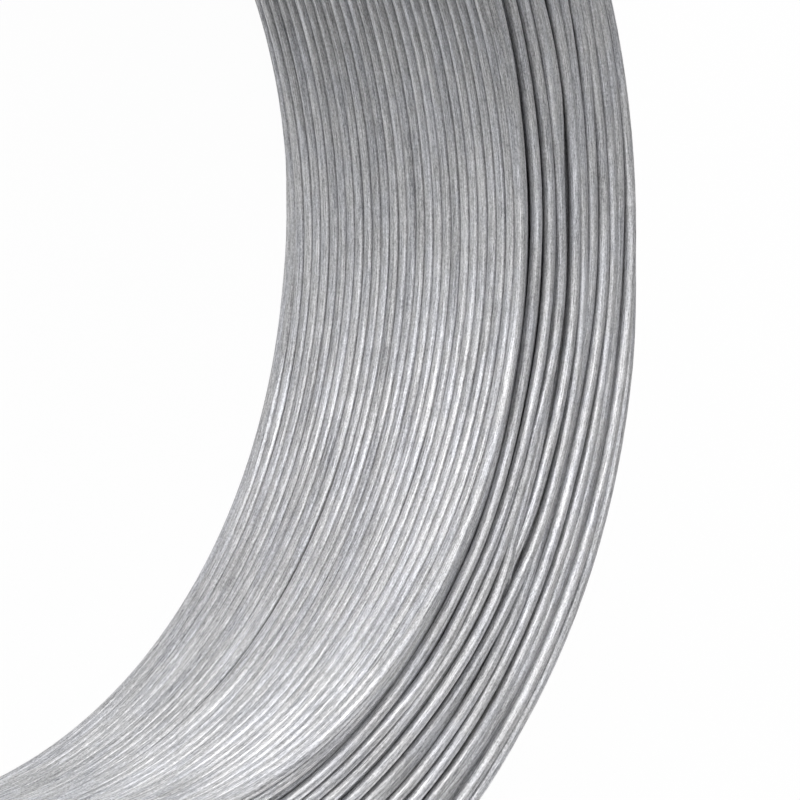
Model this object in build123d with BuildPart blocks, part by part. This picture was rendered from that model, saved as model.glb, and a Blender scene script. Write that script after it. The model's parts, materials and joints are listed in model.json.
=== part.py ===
# Coil of galvanised fence binding wire, lying on its end, axis +Z.
# The origin is on the ground plane at the middle of the bore.
# One turned solid: the turns that show stand out of a plain core, which fills in for the hidden ones.

import os
from math import radians, sin
from build123d import *

# Driving dimensions, mm
wire_diameter = 1.6
bore_diameter = 149.0

# The winding, from the bore outwards: turns in each layer. Each layer nests in the grooves of the
# one below, so neighbouring counts differ by one, and every other layer is set back at the ends.
layer_turns = (28, 27) + (26, 25) * 8

# A round turn is drawn with few sides, flats to the bore, the ends and the outside
turn_sides = 8

# Derived
wire_radius = wire_diameter / 2
bore_radius = bore_diameter / 2
layer_step = wire_diameter * sin(radians(60))
coil_width = layer_turns[0] * wire_diameter


# Centres of one layer's turns in the section: distance from the axis, height above the ground
def turn_places(layer):
    count = layer_turns[layer]
    radius = bore_radius + wire_radius + layer * layer_step
    lowest = (coil_width - count * wire_diameter) / 2 + wire_radius
    return [(radius, lowest + turn * wire_diameter) for turn in range(count)]


layers = [turn_places(layer) for layer in range(len(layer_turns))]
bottom_turns = [places[0] for places in layers]
top_turns = [places[-1] for places in layers]

with BuildPart() as wire_coil:
    with BuildSketch(Plane.XZ):
        # core through the centres of the turns that show
        Polygon(*bottom_turns, *reversed(top_turns), align=None)
        # turns on the bore, on both ends and on the outside
        with Locations(*layers[0], *bottom_turns[1:-1], *top_turns[1:-1], *layers[-1]):
            RegularPolygon(wire_radius, turn_sides, major_radius=False, rotation=180 / turn_sides)
    revolve(axis=Axis.Z)

wire_coil.part.label = "wire_coil"

os.makedirs("parts", exist_ok=True)
export_step(wire_coil.part, "parts/wire_coil.step")
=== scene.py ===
import json
import math

import bpy
import numpy as np
from mathutils import Matrix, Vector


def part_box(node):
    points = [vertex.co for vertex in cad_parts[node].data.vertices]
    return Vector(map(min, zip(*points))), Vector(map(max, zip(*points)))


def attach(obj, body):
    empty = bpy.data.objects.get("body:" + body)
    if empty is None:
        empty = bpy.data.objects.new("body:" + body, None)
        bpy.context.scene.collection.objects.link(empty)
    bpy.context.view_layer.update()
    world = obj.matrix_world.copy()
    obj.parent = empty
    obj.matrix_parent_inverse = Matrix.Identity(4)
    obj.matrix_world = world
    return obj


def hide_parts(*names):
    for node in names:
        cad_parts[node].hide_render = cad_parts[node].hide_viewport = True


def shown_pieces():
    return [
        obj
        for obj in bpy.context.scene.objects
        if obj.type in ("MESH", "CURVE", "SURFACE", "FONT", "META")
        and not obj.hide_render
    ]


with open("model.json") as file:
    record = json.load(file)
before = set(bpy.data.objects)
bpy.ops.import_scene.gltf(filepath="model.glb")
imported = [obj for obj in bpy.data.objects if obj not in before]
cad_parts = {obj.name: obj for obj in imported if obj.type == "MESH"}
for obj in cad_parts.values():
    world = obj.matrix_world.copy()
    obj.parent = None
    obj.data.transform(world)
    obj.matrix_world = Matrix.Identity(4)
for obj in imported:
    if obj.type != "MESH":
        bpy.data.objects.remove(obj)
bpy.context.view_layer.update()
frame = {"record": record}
scene = bpy.context.scene
scene.view_settings.view_transform = "Standard"

boreMount = next(mount for mount in frame["record"]["mounts"] if mount["name"] == "bore")
coilLow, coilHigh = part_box("wire_coil")

wire = {
    "boreRadius": boreMount["dims"]["r_mm"] / 1000,  # metres
    "turnsOnBore": 28,
    "layers": 18,
    "layerStep": math.sin(math.radians(60)),  # nested layers, in diameters
}
gauge = (coilHigh[2] - coilLow[2]) / wire["turnsOnBore"]
lastHeight = wire["turnsOnBore"] - 0.5  # the last turn on the bore, in diameters over the lower end
print("wire gauge", round(gauge * 1000, 3), "mm")

rng = np.random.default_rng(1873)

# Places are in wire diameters: rho out from the bore, over up from the last turn on the bore.
# Angles are in degrees, from +X towards +Y.
stationCount = 180
stationStep = 360 / stationCount
stationAngle = np.arange(stationCount) * stationStep - 180


def layerRho(layer):
    return 0.5 + layer * wire["layerStep"]


def eased(value):
    value = np.clip(value, 0, 1)
    return value * value * (3 - 2 * value)


def through(knots, angle):  # straight between knots, level past the ends
    knots = sorted(knots)
    return np.interp(angle, [a for a, _ in knots], [v for _, v in knots])


def smoothed(values, width):  # round the turn, width in degrees
    reach = int(4 * width / stationStep) + 1
    offsets = np.arange(-reach, reach + 1)
    weights = np.exp(-0.5 * (offsets * stationStep / width) ** 2)
    weights /= weights.sum()
    return sum(weight * np.roll(values, offset, axis=-1) for offset, weight in zip(offsets, weights))


def wander(size, every):  # a slow seeded drift round one turn
    count = int(360 / every)
    knots = np.arange(count) * every - 180
    drift = np.interp(stationAngle, knots, rng.normal(0, size, count), period=360)
    return smoothed(drift, every * 0.35)


def ring(rho, over):  # the places of one turn
    return np.stack(np.broadcast_arrays(rho, over, np.zeros(stationCount))[:2], -1)


# The upper end. Each turn that shows: its layer, how far its middle stands over the last turn on
# the bore, and where it lies across the end at each angle, as seen on the slant.
slant = {"slope": 1.0575, "plane": -0.75}  # a turn that lies deeper than the plane looks further in
upperEnd = {
    "seenFrom": -72, "seenTo": 24,  # degrees
    "pastLow": 8, "pastHigh": 4, "fadeLow": 24, "fadeHigh": 12,  # degrees a turn is held past its table
    "turns": [
        {"layer": 2,
         "over": [(-48, -1.4), (-54, -1.25), (-62, -1.12), (-72, -1.08)],
         "across": [(-50, 2.0), (-60, 2.17), (-72, 2.25)]},
        {"layer": 3,
         "over": [(0, -0.65)],
         "across": [(22, 3.62), (15, 3.44), (10, 3.34), (5, 3.3), (0, 3.24), (-5, 3.09),
                    (-10, 3.0), (-15, 2.98), (-20, 3.08), (-25, 3.19), (-30, 3.26), (-35, 3.22),
                    (-40, 3.2), (-45, 3.16), (-50, 3.2), (-55, 3.23), (-60, 3.27), (-65, 3.32)]},
        {"layer": 5,
         "over": [(0, -0.7)],
         "across": [(22, 5.08), (15, 4.98), (10, 4.96), (5, 4.92), (0, 4.86), (-5, 4.86),
                    (-10, 4.79), (-15, 4.67), (-20, 4.64), (-25, 4.66), (-30, 4.65), (-34, 4.6),
                    (-40, 4.74), (-45, 4.7), (-50, 4.47), (-55, 4.37), (-60, 4.36)]},
        {"layer": 7,
         "over": [(-38, -0.75), (-43, -0.95), (-48, -0.92), (-55, -0.8)],
         "across": [(22, 6.38), (15, 6.3), (12, 6.2), (10, 6.14), (5, 6.13), (2, 6.13), (0, 6.18),
                    (-5, 6.35), (-10, 6.26), (-14, 6.04), (-18, 5.76), (-25, 5.7), (-30, 5.8),
                    (-35, 5.83), (-40, 5.74), (-45, 5.54), (-50, 5.45), (-60, 5.44)]},
        {"layer": 8,
         "over": [(22, -1.08), (12, -1.1), (10, -1.17), (7, -1.37), (5, -1.5), (0, -1.5),
                  (-4, -1.65), (-8, -1.62), (-13, -1.45), (-16, -1.25), (-20, -1.06),
                  (-25, -0.98), (-28, -0.87), (-32, -0.55), (-40, -0.55), (-55, -0.75)],
         "across": [(22, 6.92), (15, 6.97), (12, 6.86), (10, 6.65), (7, 6.37), (5, 6.21),
                    (0, 6.1), (-4, 6.0), (-8, 5.95), (-13, 6.21), (-15, 6.24), (-20, 6.39),
                    (-25, 6.46), (-28, 6.69), (-30, 7.01), (-33, 7.3), (-35, 7.35), (-40, 7.23),
                    (-45, 7.05), (-50, 6.93), (-55, 6.87), (-60, 6.84)]},
        {"layer": 9,
         "over": [(-20, -0.75), (-26, -0.88), (-30, -1.15), (-33, -1.45), (-40, -1.42),
                  (-44, -1.45), (-48, -1.48), (-52, -1.55), (-56, -1.62), (-60, -1.65)],
         "across": [(22, 8.6), (20, 8.54), (15, 8.42), (10, 8.28), (5, 8.12), (0, 8.01),
                    (-5, 8.05), (-10, 8.03), (-15, 7.92), (-20, 7.77), (-25, 7.69), (-30, 7.36),
                    (-35, 7.14), (-40, 7.18), (-44, 7.08), (-48, 7.01), (-52, 6.95), (-56, 6.9),
                    (-64, 6.88)]},
        {"layer": 10,
         "over": [(12, -1.02), (0, -0.98), (-10, -0.95), (-40, -0.95), (-55, -0.9)],
         "across": [(22, 9.81), (20, 9.72), (15, 9.39), (12, 9.25), (10, 9.19), (5, 8.99),
                    (0, 8.9), (-5, 9.08), (-10, 9.28), (-15, 9.31), (-20, 9.31), (-25, 9.28),
                    (-28, 9.16), (-32, 8.88), (-36, 8.73), (-40, 8.58), (-44, 8.43), (-48, 8.29),
                    (-52, 8.17), (-56, 8.07), (-60, 8.0)]},
        {"layer": 11,
         "over": [(12, -0.75), (6, -0.9), (2, -1.05), (-5, -1.15), (-10, -1.3), (-15, -1.45),
                  (-22, -1.5), (-27, -1.4), (-32, -1.08)],
         "across": [(22, 11.12), (20, 11.07), (15, 10.87), (10, 10.43), (5, 10.22), (0, 10.12),
                    (-5, 10.06), (-10, 9.89), (-15, 9.69), (-20, 9.52), (-25, 9.64), (-28, 9.84),
                    (-32, 10.01), (-35, 10.08), (-40, 10.11), (-45, 10.04), (-50, 9.98),
                    (-55, 9.89)]},
        {"layer": 13,
         "over": [(12, -0.9), (5, -0.8), (0, -0.75), (-28, -0.75), (-34, -0.88)],
         "across": [(22, 12.17), (20, 12.06), (15, 11.81), (10, 11.64), (5, 11.57), (0, 11.54),
                    (-5, 11.54), (-10, 11.33), (-15, 11.15), (-20, 11.06), (-25, 11.14),
                    (-30, 11.2), (-35, 11.26), (-40, 11.3), (-45, 11.31), (-50, 11.3),
                    (-55, 11.26)]},
        {"layer": 14,
         "over": [(12, -0.95), (5, -0.85)],
         "across": [(22, 13.12), (20, 13.07), (15, 12.92), (10, 12.81), (5, 12.68), (0, 12.65),
                    (-5, 12.62), (-10, 12.58), (-15, 12.51), (-20, 12.47), (-25, 12.5),
                    (-30, 12.54), (-35, 12.65), (-40, 12.76), (-45, 12.7), (-50, 12.61)]},
        {"layer": 15,
         "over": [(22, -1.12), (12, -1.05), (4, -1.08), (0, -1.18), (-4, -1.22)],
         "across": [(22, 13.99), (20, 13.95), (15, 13.91), (10, 13.78), (5, 13.62), (0, 13.38),
                    (-5, 13.25), (-10, 13.28), (-15, 13.31), (-20, 13.35), (-25, 13.4),
                    (-30, 13.45), (-35, 13.53), (-40, 13.55), (-45, 13.46), (-50, 13.31)]},
        {"layer": 16,
         "over": [(22, -1.22), (12, -1.05), (8, -0.95), (2, -0.8), (-3, -0.65)],
         "across": [(22, 14.92), (15, 14.94), (10, 14.94), (0, 14.9), (-10, 14.89), (-20, 14.9),
                    (-30, 14.92), (-40, 14.98), (-50, 15.03)]},
        {"layer": 17,
         "over": [(22, -2.15), (12, -1.95), (5, -1.8), (-2, -1.7), (-6, -1.45), (-10, -1.2),
                  (-15, -0.95), (-20, -0.8), (-30, -0.75), (-40, -0.85), (-45, -0.75)],
         "across": [(22, 14.6), (12, 14.62), (5, 14.75), (-2, 15.0), (-5, 15.2), (-8, 15.42),
                    (-10, 15.54), (-15, 15.7), (-20, 15.83), (-25, 15.93), (-30, 15.97),
                    (-35, 15.97), (-40, 15.91), (-45, 16.0)]},
    ],
    "deeper": [  # turns of the second row that show between those of the first
        {"layer": 7,
         "over": [(-36, -1.42), (-40, -1.46), (-44, -1.53), (-48, -1.56), (-60, -1.53)],
         "across": [(-38, 6.03), (-40, 6.02), (-44, 5.94), (-48, 5.8), (-52, 5.76), (-60, 5.75)]},
        {"layer": 10,
         "over": [(-38, -1.7), (-40, -1.66), (-44, -1.54), (-48, -1.44), (-52, -1.39),
                  (-60, -1.36)],
         "across": [(-40, 8.74), (-44, 8.8), (-48, 8.81), (-52, 8.77), (-56, 8.7)]},
    ],
}

# The last turn on the bore is followed by one that nests behind it, over the turn before
nextTurn = {
    "travel": 410, "foldAfter": 290,  # degrees that it runs, and where its angles start again
    "sinkOver": 50,  # degrees it takes to go down by a turn
    "over": [(60, -0.5), (24, -0.22), (22, -0.27), (15, -0.42), (8, -0.65), (4, -0.72),
             (0, -0.78), (-4, -0.83), (-12, -0.97), (-20, -1.0), (-28, -1.0), (-32, -0.9),
             (-36, -0.74), (-40, -0.56), (-48, -0.42), (-56, -0.34), (-60, -0.3), (-72, -0.28),
             (-110, -0.5)],
}

# The turns on the bore, wound towards falling angles from a cut end at the lower end
boreLayer = {
    "startAngle": 110,
    "crossFrom": 310, "crossTo": 360,  # degrees into a turn, where it moves on by one pitch
    "drift": 0.03, "driftEvery": 24, "rise": 0.012, "riseEvery": 18,
    "openGroove": 10.5, "openBy": 0.14, "openReach": 4, "openFrom": -12, "openFull": -35,
    "firstRise": [(-68, 0), (-43, 0.15), (-28, 0.3), (-19, 0.4), (-11, 0.52), (-5, 0.63), (0, 0.87),
                  (4, 1.0), (8, 1.25), (15, 1.4), (110, 1.5)],
    "secondRise": [(-15, 0), (-5, 0.25), (0, 0.42), (20, 0.46), (40, 0.3), (70, 0.1), (95, 0)],
}

# Rows of turns on both ends, before they settle: even and odd layers
endRows = {
    "firstOver": (-1.5, -0.85), "secondOver": (-2.8, -2.4), "lowerBehindBore": -1.2,
    "strayOut": 0.1, "strayUp": 0.16, "strayEvery": 15,
}

settling = {
    "rounds": 120, "push": 0.5,
    "firmPower": 8, "give": 1.06, "pullBack": 0.15,  # a turn that the photo holds gives way least
    "smoothEvery": 12, "smoothWidth": 1.6,
}


def unslanted(across, over, angle):  # rho of a turn that is seen there
    return across - (over - slant["plane"]) * slant["slope"] * np.cos(np.radians(angle))


def nextTurnPlaces(angle):  # touches the turn on the bore that is nearest to it
    over = through(nextTurn["over"], angle)
    return 0.5 + np.sqrt(1 - np.minimum(-over, 1 + over) ** 2), over


def shown(turn, end, rho, over):  # a turn where the photo shows it, and how far it is held there
    angles = [angle for angle, _ in turn["across"]]
    low = max(end["seenFrom"], min(angles) - end["pastLow"])
    high = min(end["seenTo"], max(angles) + end["pastHigh"])
    hold = eased((stationAngle - low + end["fadeLow"]) / end["fadeLow"])
    hold = hold * eased((high + end["fadeHigh"] - stationAngle) / end["fadeHigh"])
    seenOver = through(turn["over"], stationAngle)
    seenRho = unslanted(through(turn["across"], stationAngle), seenOver, stationAngle)
    return ring(rho + hold * (seenRho - rho), over + hold * (seenOver - over)), hold


def endPlaces(end):  # the first row of turns on an end, and how far the photo holds each
    table = {turn["layer"]: turn for turn in end["turns"]}
    places, holds = [], []
    for layer in range(2, wire["layers"]):
        rho = layerRho(layer) + wander(endRows["strayOut"], endRows["strayEvery"])
        over = endRows["firstOver"][layer % 2] + wander(endRows["strayUp"], endRows["strayEvery"])
        place, hold = ring(rho, over), np.zeros(stationCount)
        if layer in table:
            place, hold = shown(table[layer], end, rho, over)
        places.append(place)
        holds.append(hold)
    return np.array(places), np.array(holds)


def settled(name, loose, holds, fixed):  # pushes turns apart until none sits in another
    rounds, every = settling["rounds"], settling["smoothEvery"]
    slope = slant["slope"] * np.cos(np.radians(stationAngle))
    place, fixed = np.array(loose), np.array(fixed)
    over, across = place[..., 1].copy(), place[..., 0] + slope * place[..., 1]
    count, firm = len(place), holds ** settling["firmPower"]
    give = np.concatenate([settling["give"] - firm, np.zeros((len(fixed), stationCount))])
    share = give[:count, None] / (give[:count, None] + give[None])
    for step in range(rounds):
        gap = np.concatenate([place, fixed])[None] - place[:, None]
        apart = np.linalg.norm(gap, axis=-1)
        apart[np.arange(count), np.arange(count)] = 9  # far enough not to push itself
        overlap = np.clip(1 - apart, 0, None)
        place = place - settling["push"] * (gap * (overlap * share / apart)[..., None]).sum(1)
        if step % every == every - 1 and step < rounds - every:
            place = np.moveaxis(smoothed(np.moveaxis(place, 1, 2), settling["smoothWidth"]), 2, 1)
        place[..., 1] += settling["pullBack"] * firm * (over - place[..., 1])
        place[..., 0] += firm * (across - place[..., 0] - slope * place[..., 1])  # held where it is seen
    print(name, "settled, deepest overlap", round(float(overlap.max()), 3), "diameters")
    return place


secondRow = np.array([
    ring(layerRho(layer), endRows["secondOver"][layer % 2]) for layer in range(2, wire["layers"])])
upperRow, upperHolds = endPlaces(upperEnd)
deeperRow, deeperHolds = secondRow.copy(), np.zeros((len(secondRow), stationCount))
for turn in upperEnd["deeper"]:
    spot = turn["layer"] - 2
    deeperRow[spot], deeperHolds[spot] = shown(turn, upperEnd, *np.moveaxis(secondRow[spot], -1, 0))
nextRho, nextOver = nextTurnPlaces(stationAngle)
upperLoose = np.concatenate([upperRow, deeperRow])
upperTurns = settled("upper end", upperLoose, np.concatenate([upperHolds, deeperHolds]), [
    ring(0.5, 0), ring(0.5, -1), ring(0.5, -2),
    ring(nextRho, nextOver), ring(layerRho(1), nextOver - 1), ring(layerRho(1), nextOver - 2)])

lowerRow, _ = endPlaces({"turns": []})
lowerRow = np.concatenate([[ring(layerRho(1), endRows["lowerBehindBore"])], lowerRow])
firstRise, secondRise = (
    through(boreLayer[key], stationAngle) * (stationAngle < boreLayer["startAngle"])
    for key in ("firstRise", "secondRise"))
lowerLoose = np.concatenate([lowerRow, secondRow])
lowerTurns = settled("lower end", lowerLoose, np.zeros((len(lowerLoose), stationCount)), [
    ring(0.5 + firstRise, 0), ring(0.5 + secondRise, -1), ring(0.5, -2), ring(layerRho(1), -2.5)])


# Meshes. The seam of the wire's map lies on its hidden side, in degrees round the wire.
sidesRound = {"shown": 12, "hidden": 8}
seamAt = {"out": 0, "up": 90, "in": 180, "down": 270}
maps = {
    "runApart": 700, "roundApart": 31,  # mm, so that no two turns have the same marks
    "stripEnd": 0.004, "stripEdge": 0.05,  # margins of a turn's strip in the bake map
    "capBox": (0.003, 0.04), "capSize": 0.4,
}


def tubes(name, runs, sides, seam):  # each run: angles, rho and height in diameters, closed or cut
    aroundAngle = np.radians(seam) + 2 * np.pi * np.arange(sides) / sides
    aroundStep = math.pi * gauge * 1000 / sides  # mm
    perStrip = stationCount
    stripCount = sum(math.ceil((len(run[0]) - 1) / perStrip) for run in runs)
    points, corners, starts, runMap, bakeMap = [], [], [], [], []
    pointCount = cornerCount = strip = 0
    for index, (angle, rho, height, closed) in enumerate(runs):
        count = len(angle)
        turn = np.radians(angle)
        radius = wire["boreRadius"] + gauge * rho
        middle = np.stack([radius * np.cos(turn), radius * np.sin(turn), gauge * height], -1)
        ringRadius = radius[:, None] + gauge / 2 * np.cos(aroundAngle)
        ringHeight = gauge * height[:, None] + gauge / 2 * np.sin(aroundAngle)
        points.append(np.stack([
            ringRadius * np.cos(turn)[:, None], ringRadius * np.sin(turn)[:, None], ringHeight],
            -1).reshape(-1, 3))
        spans = count if closed else count - 1
        if closed:
            middle = np.concatenate([middle, middle[:1]])
        steps = np.linalg.norm(np.diff(middle, axis=0), axis=1) * 1000
        length = np.concatenate([[0], np.cumsum(steps)])
        i, k = np.meshgrid(np.arange(spans), np.arange(sides), indexing="ij")
        ahead, beside = (i + 1) % count, (k + 1) % sides
        here, there = i * sides, ahead * sides
        quads = np.stack([here + k, there + k, there + beside, here + beside], -1)
        corners.append(quads.reshape(-1) + pointCount)
        starts.append(cornerCount + 4 * np.arange(spans * sides))
        u = np.stack([length[i], length[i + 1], length[i + 1], length[i]], -1)
        v = np.stack([k, k, k + 1, k + 1], -1)
        runU, runV = u + maps["runApart"] * index, v * aroundStep + maps["roundApart"] * index
        runMap.append(np.stack([runU, runV], -1).reshape(-1, 2))
        onStrip = i // perStrip
        end, edge = maps["stripEnd"], maps["stripEdge"]
        stripU = np.stack([i, i + 1, i + 1, i], -1) - perStrip * onStrip[..., None]
        stripU = end + (1 - 2 * end) * stripU / perStrip
        stripV = (strip + onStrip[..., None] + edge + (1 - 2 * edge) * v / sides) / stripCount
        bakeMap.append(np.stack([stripU, stripV], -1).reshape(-1, 2))
        cornerCount += 4 * spans * sides
        if not closed:  # cut ends
            for cap in (np.arange(sides), (count - 1) * sides + np.arange(sides)[::-1]):
                corners.append(cap + pointCount)
                starts.append(np.array([cornerCount]))
                face = np.stack([np.cos(aroundAngle), np.sin(aroundAngle)], -1)
                runMap.append(face * gauge * 500 + maps["runApart"] * index)
                capWidth, capHeight = maps["capBox"]
                capPlace = (face * maps["capSize"] + 0.5) * [capWidth, capHeight / stripCount]
                bakeMap.append(capPlace + [0, strip / stripCount])
                cornerCount += sides
        pointCount += count * sides
        strip += math.ceil((count - 1) / perStrip)
    points, corners, starts = np.concatenate(points), np.concatenate(corners), np.concatenate(starts)
    totals = np.diff(np.append(starts, len(corners)))
    mesh = bpy.data.meshes.new(name)
    mesh.vertices.add(len(points))
    mesh.vertices.foreach_set("co", points.astype(np.float32).ravel())
    mesh.loops.add(len(corners))
    mesh.loops.foreach_set("vertex_index", corners.astype(np.int32))
    mesh.polygons.add(len(starts))
    mesh.polygons.foreach_set("loop_start", starts.astype(np.int32))
    mesh.update(calc_edges=True)
    for mapName, places in (("wireRun", runMap), ("OFBake", bakeMap)):
        layer = mesh.uv_layers.new(name=mapName, do_init=False)
        layer.uv.foreach_set("vector", np.concatenate(places).astype(np.float32).ravel())
    mesh.polygons.foreach_set("use_smooth", totals == 4)
    mesh.validate()
    piece = bpy.data.objects.new(name, mesh)
    scene.collection.objects.link(piece)
    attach(piece, "root")
    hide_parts("wire_coil")
    print(name, len(runs), "runs,", int((totals - 2).sum()), "triangles")


def wound(turnCount, drift, rise):  # a seeded run of turns side by side, crossing on at each turn's end
    travel = np.arange(0, 360 * turnCount, stationStep)
    angle = boreLayer["startAngle"] - travel
    turn = (travel // 360).astype(int)
    crossing = boreLayer["crossTo"] - boreLayer["crossFrom"]
    cross = eased((travel - 360 * turn - boreLayer["crossFrom"]) / crossing)
    station = np.round((angle + 180) / stationStep).astype(int) % stationCount
    shift = np.array([wander(drift, boreLayer["driftEvery"]) for _ in range(turnCount + 1)])
    lift = np.array([wander(rise, boreLayer["riseEvery"]) for _ in range(turnCount + 1)])
    height = turn + cross + shift[turn, station] * (1 - cross) + shift[turn + 1, station] * cross
    rho = lift[turn, station] * (1 - cross) + lift[turn + 1, station] * cross
    return turn, cross, angle, rho, height


def turned(angle, rho, height):  # a cut run, put in the order of rising angles
    return angle[::-1], rho[::-1], height[::-1], False


turnsOnBore = wire["turnsOnBore"]
turn, cross, angle, rho, height = wound(turnsOnBore, boreLayer["drift"], boreLayer["rise"])
inTurn = angle + 360 * turn
rho = rho + 0.5 + np.where(turn == 0, through(boreLayer["firstRise"], inTurn), 0)
rho = rho + np.where(turn == 1, through(boreLayer["secondRise"], inTurn), 0)
away = height - boreLayer["openGroove"]
opened = eased((boreLayer["openFrom"] - inTurn) / (boreLayer["openFrom"] - boreLayer["openFull"]))
opening = boreLayer["openBy"] * opened * np.sign(away)
height = height + 0.5 + opening * np.exp(-np.abs(away) / boreLayer["openReach"])
height = np.maximum(height, 0.5)  # on the floor
climb = cross * (turn == turnsOnBore - 1)  # the last turn goes on into the one behind it
tailTravel = np.arange(0, nextTurn["travel"], stationStep)
tailAngle = boreLayer["startAngle"] - tailTravel
tailRho, tailOver = nextTurnPlaces(tailAngle + 360 * (tailTravel > nextTurn["foldAfter"]))
rho = rho + climb * (tailRho[0] - rho)
height = height + climb * (lastHeight + tailOver[0] - height)
tailOver = tailOver - eased((tailTravel - boreLayer["crossFrom"]) / nextTurn["sinkOver"])
tailOver = tailOver - eased((tailTravel - 360) / nextTurn["sinkOver"])
tubes("boreTurns", [turned(
    np.concatenate([angle, tailAngle - 360 * turnsOnBore]), np.concatenate([rho, tailRho]),
    np.concatenate([height, lastHeight + tailOver]))], sidesRound["shown"], seamAt["out"])

# Hidden turns, which show only in grooves, with heights in diameters over the lower end
hidden = {
    "pitch": 1.005,  # just clear of each other
    "boreLowest": 3.0, "boreCount": 21,
    "outsideLowest": 4.35, "outsideHighest": 23.65, "outsideCount": 20,
}


def plainRings(layer, lowest, highest, count):  # evenly spread
    some, rho = stationAngle[::2], np.full(stationCount // 2, layerRho(layer))
    shares = np.linspace(0, 1, count)
    return [(some, rho, (lowest + (highest - lowest) * share)[::2], True) for share in shares]


def endRings(places, upper, skip=1):  # turns of an end as closed runs
    runs = []
    for place in places[:, ::skip]:
        height = lastHeight + place[:, 1]
        height = height if upper else turnsOnBore - height
        runs.append((stationAngle[::skip], place[:, 0], height, True))
    return runs


nextHeight, layerOne = lastHeight + nextOver, np.full(stationCount, layerRho(1))
behindLast = [(stationAngle, layerOne, nextHeight - below * hidden["pitch"], True) for below in (1, 2)]
behindBore = plainRings(1, hidden["boreLowest"], nextHeight - 3 * hidden["pitch"], hidden["boreCount"])
tubes("underBoreTurns", behindBore + behindLast, sidesRound["hidden"], seamAt["out"])
upperCount, lowerCount = len(upperRow), len(lowerRow)
upperFirst = endRings(upperTurns[:upperCount], True)
upperSecond = endRings(upperTurns[upperCount:], True, 2)
lowerFirst = endRings(lowerTurns[:lowerCount], False)
lowerSecond = endRings(lowerTurns[lowerCount:], False, 2)
tubes("upperEndTurns", upperFirst, sidesRound["shown"], seamAt["down"])
tubes("upperEndInnerTurns", upperSecond, sidesRound["hidden"], seamAt["down"])
tubes("lowerEndTurns", lowerFirst, sidesRound["shown"], seamAt["up"])
tubes("lowerEndInnerTurns", lowerSecond, sidesRound["hidden"], seamAt["up"])

# The outside: looser turns side by side, with both cut ends at the back
outside = {"turns": 23, "lowest": 2.6, "pitch": 1.02, "drift": 0.09, "rise": 0.05, "turnBy": 60}
turn, _, angle, rho, height = wound(outside["turns"], outside["drift"], outside["rise"])
tubes("outsideTurns", [turned(
    angle + outside["turnBy"], rho + layerRho(wire["layers"] - 1),
    outside["lowest"] + outside["pitch"] * height)], sidesRound["shown"], seamAt["in"])
behindOutside = plainRings(
    wire["layers"] - 2, hidden["outsideLowest"], np.full(stationCount, hidden["outsideHighest"]),
    hidden["outsideCount"])
tubes("underOutsideTurns", behindOutside, sidesRound["hidden"], seamAt["in"])


# Materials

class Signal:  # an output socket, for shader maths
    def __init__(self, board, socket):
        self.board, self.socket = board, socket

    def maths(self, operation, first, second):
        return self.board.add("ShaderNodeMath", {"operation": operation}, {0: first, 1: second})

    def __add__(self, other):
        return self.maths("ADD", self, other)

    def __radd__(self, other):
        return self.maths("ADD", other, self)

    def __sub__(self, other):
        return self.maths("SUBTRACT", self, other)

    def __rsub__(self, other):
        return self.maths("SUBTRACT", other, self)

    def __mul__(self, other):
        return self.maths("MULTIPLY", self, other)

    def __rmul__(self, other):
        return self.maths("MULTIPLY", other, self)


class NodeBoard:
    def __init__(self, owner):
        owner.use_nodes = True
        self.tree = owner.node_tree
        self.tree.nodes.clear()

    def add(self, kind, settings=None, sockets=None, out=0):
        node = self.tree.nodes.new(kind)
        for key, value in (settings or {}).items():
            setattr(node, key, value)
        for key, value in (sockets or {}).items():
            if isinstance(value, Signal):
                self.tree.links.new(value.socket, node.inputs[key])
            else:
                node.inputs[key].default_value = value
        return Signal(self, node.outputs[out]) if node.outputs else node


zinc = {
    "dull": (0.205, 0.205, 0.21, 1), "bright": (0.733, 0.734, 0.744, 1),
    "dullBlue": (0.199, 0.202, 0.216, 1), "brightBlue": (0.718, 0.726, 0.758, 1),
    "metallic": 0.5, "roughness": 0.35,
    "bumpStrength": 0.6, "bumpDepth": 0.00004,  # metres
    "streak": (14.0, 0.22, 4.0, 0.7),  # marks: length and width in mm, detail, roughness
    "fleck": (2.2, 0.16, 3.0, 0.75),
    "speck": (0.4, 0.2, 2.0, 0.7),
    "patch": (24.0, 4.0, 2.0, 0.5),
    "drawLine": (50.0, 0.14, 2.0, 0.6), "drawLineRange": (0.1, 0.2),
    # painted glints: thin bright marks painted into the colour, standing in for glints of light along
    # the wire
    "paintedGlint": (6.0, 0.14, 2.0, 0.6), "paintedGlintRange": (0.1, 0.22),
    "bluish": (9.0, 3.0, 3.0, 0.6), "bluishRange": (-0.12, 0.16),
}


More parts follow.
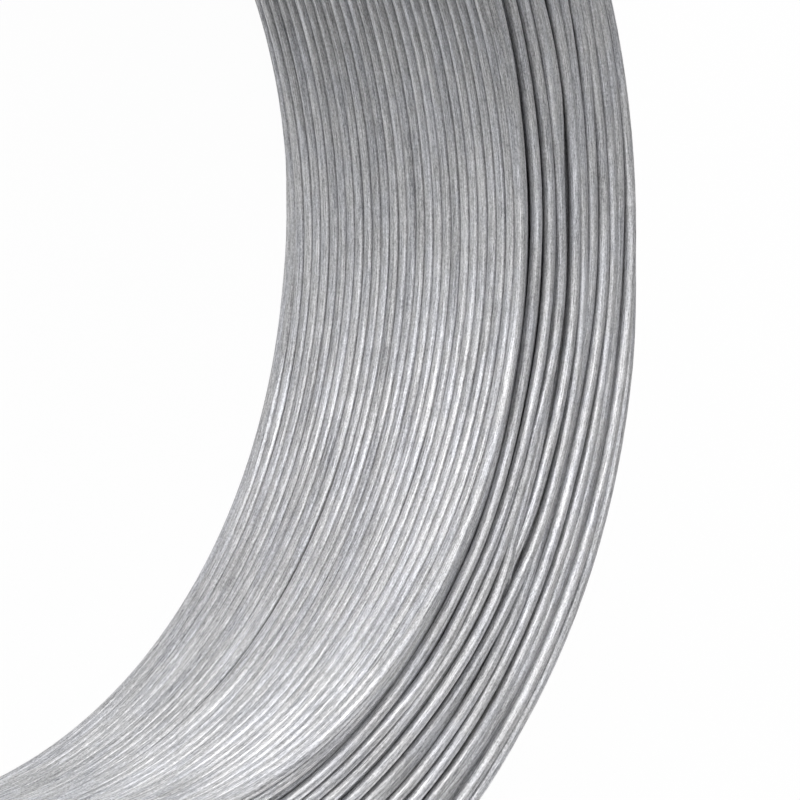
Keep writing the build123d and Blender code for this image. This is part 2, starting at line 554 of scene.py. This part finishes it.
def zincMaterial():
    material = bpy.data.materials.new("drawnZinc")
    board = NodeBoard(material)
    place = board.add("ShaderNodeUVMap", {"uv_map": "wireRun"})

    def grain(mark):  # noise drawn out along the wire, about 0
        along, across, detail, roughness = zinc[mark]
        spread = board.add("ShaderNodeMapping", {}, {
            "Vector": place, "Scale": (1 / along, 1 / across, 1)})
        noise = board.add("ShaderNodeTexNoise", {"noise_dimensions": "2D"}, {
            "Vector": spread, "Scale": 1.0, "Detail": detail, "Roughness": roughness}, "Fac")
        return noise - 0.5

    def above(mark):  # 0 to 1 over the mark's range
        low, high = zinc[mark + "Range"]
        return board.add("ShaderNodeMapRange", {"interpolation_type": "SMOOTHSTEP"}, {
            "Value": grain(mark), "From Min": low, "From Max": high})

    def between(share, first, second):
        return board.add("ShaderNodeMix", {"data_type": "RGBA"}, {
            "Factor": share, "A": first, "B": second}, "Result")

    streak, fleck, speck, patch = (grain(mark) for mark in ("streak", "fleck", "speck", "patch"))
    drawLine, paintedGlint, bluish = (above(mark) for mark in ("drawLine", "paintedGlint", "bluish"))
    # the tone carries painted glints (thin bright marks) on top of the wire's own streaks, flecks,
    # specks, patches and draw lines
    tone = 0.5 + streak * 1.5 + fleck * 1.6 + speck * 1.2 + patch * 0.6 - drawLine * 0.25 + paintedGlint * 0.25
    dull = between(bluish, zinc["dull"], zinc["dullBlue"])
    bright = between(bluish, zinc["bright"], zinc["brightBlue"])
    colour = between(tone, dull, bright)
    bump = board.add("ShaderNodeBump", {}, {
        "Strength": zinc["bumpStrength"], "Distance": zinc["bumpDepth"],
        "Height": streak + fleck + speck * 0.5 - drawLine * 0.3})
    surface = board.add("ShaderNodeBsdfPrincipled", {}, {
        "Base Color": colour, "Metallic": zinc["metallic"], "Normal": bump,
        "Roughness": zinc["roughness"] - patch * 0.3 - streak * 0.3})
    board.add("ShaderNodeOutputMaterial", {}, {"Surface": surface})
    return material


drawnZinc = zincMaterial()
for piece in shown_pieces():
    piece.data.materials.append(drawnZinc)

# Floor, light and camera
studio = {
    "floorSize": 6.0, "floorColour": (0.85, 0.85, 0.85, 1), "floorWhite": 0.97,
    "lobes": [  # soft patches of the surroundings: azimuth, height, how sharply it falls off, strength
        (60, 60, 20, 0.8), (120, 60, 20, 2.9), (180, 60, 20, 0.75),
        (72, 32, 24, 3.9), (144, 32, 24, 3.3), (180, 32, 24, 1.7), (324, 32, 24, 3.3),
        (90, 8, 30, 5.0), (120, 8, 30, 3.3), (150, 8, 30, 4.4), (330, 8, 30, 2.8),
    ],
}

floorMesh = bpy.data.meshes.new("floor")
half = studio["floorSize"] / 2
floorCorners = [(-half, -half, 0), (half, -half, 0), (half, half, 0), (-half, half, 0)]
floorMesh.from_pydata(floorCorners, [], [(0, 1, 2, 3)])
floor = bpy.data.objects.new("floor", floorMesh)
scene.collection.objects.link(floor)
paleFloor = bpy.data.materials.new("paleFloor")
board = NodeBoard(paleFloor)
shaded = board.add("ShaderNodeBsdfDiffuse", {}, {"Color": studio["floorColour"]})
white = board.add("ShaderNodeEmission", {}, {"Color": (1, 1, 1, 1), "Strength": 1.0})
plain = sum(board.add("ShaderNodeLightPath", {}, {}, ray) for ray in
            ("Is Camera Ray", "Is Glossy Ray", "Is Transmission Ray"))
mixed = board.add("ShaderNodeMixShader", {}, {0: plain * studio["floorWhite"], 1: shaded, 2: white})
board.add("ShaderNodeOutputMaterial", {}, {"Surface": mixed})
floorMesh.materials.append(paleFloor)

scene.world = bpy.data.worlds.new("studio")
board = NodeBoard(scene.world)
heading = board.add("ShaderNodeTexCoord", {}, {}, "Generated")


def softLight(azimuth, elevation, power, strength):
    azimuth, elevation = math.radians(azimuth), math.radians(elevation)
    level = math.cos(elevation)
    toward = (level * math.cos(azimuth), level * math.sin(azimuth), math.sin(elevation))
    facing = board.add("ShaderNodeVectorMath", {"operation": "DOT_PRODUCT"}, {
        0: heading, 1: toward}, "Value")
    facing = facing.maths("MAXIMUM", facing, 0.0)
    return facing.maths("POWER", facing, power) * strength


light = sum(softLight(*lobe) for lobe in studio["lobes"])
sky = board.add("ShaderNodeBackground", {}, {"Color": light, "Strength": 1.0})
board.add("ShaderNodeOutputWorld", {}, {"Surface": sky})

view = {  # the photograph's camera, metres and mm
    "eye": (-0.526962, -0.019993, 0.592182),
    "right": (0.687257, 0.002584, 0.726410),
    "up": (0.0, 0.999994, -0.003558),
    "forward": (0.726415, -0.002445, -0.687252),
    "lens": 280.605, "sensor": 36.0,
}
cameraData = bpy.data.cameras.new("camera")
cameraData.lens, cameraData.sensor_width = view["lens"], view["sensor"]
cameraData.sensor_fit = "HORIZONTAL"
camera = bpy.data.objects.new("camera", cameraData)
axes = Matrix((view["right"], view["up"], [-part for part in view["forward"]])).transposed()
camera.matrix_world = Matrix.Translation(view["eye"]) @ axes.to_4x4()
scene.collection.objects.link(camera)
scene.camera = camera

bpy.context.view_layer.update()
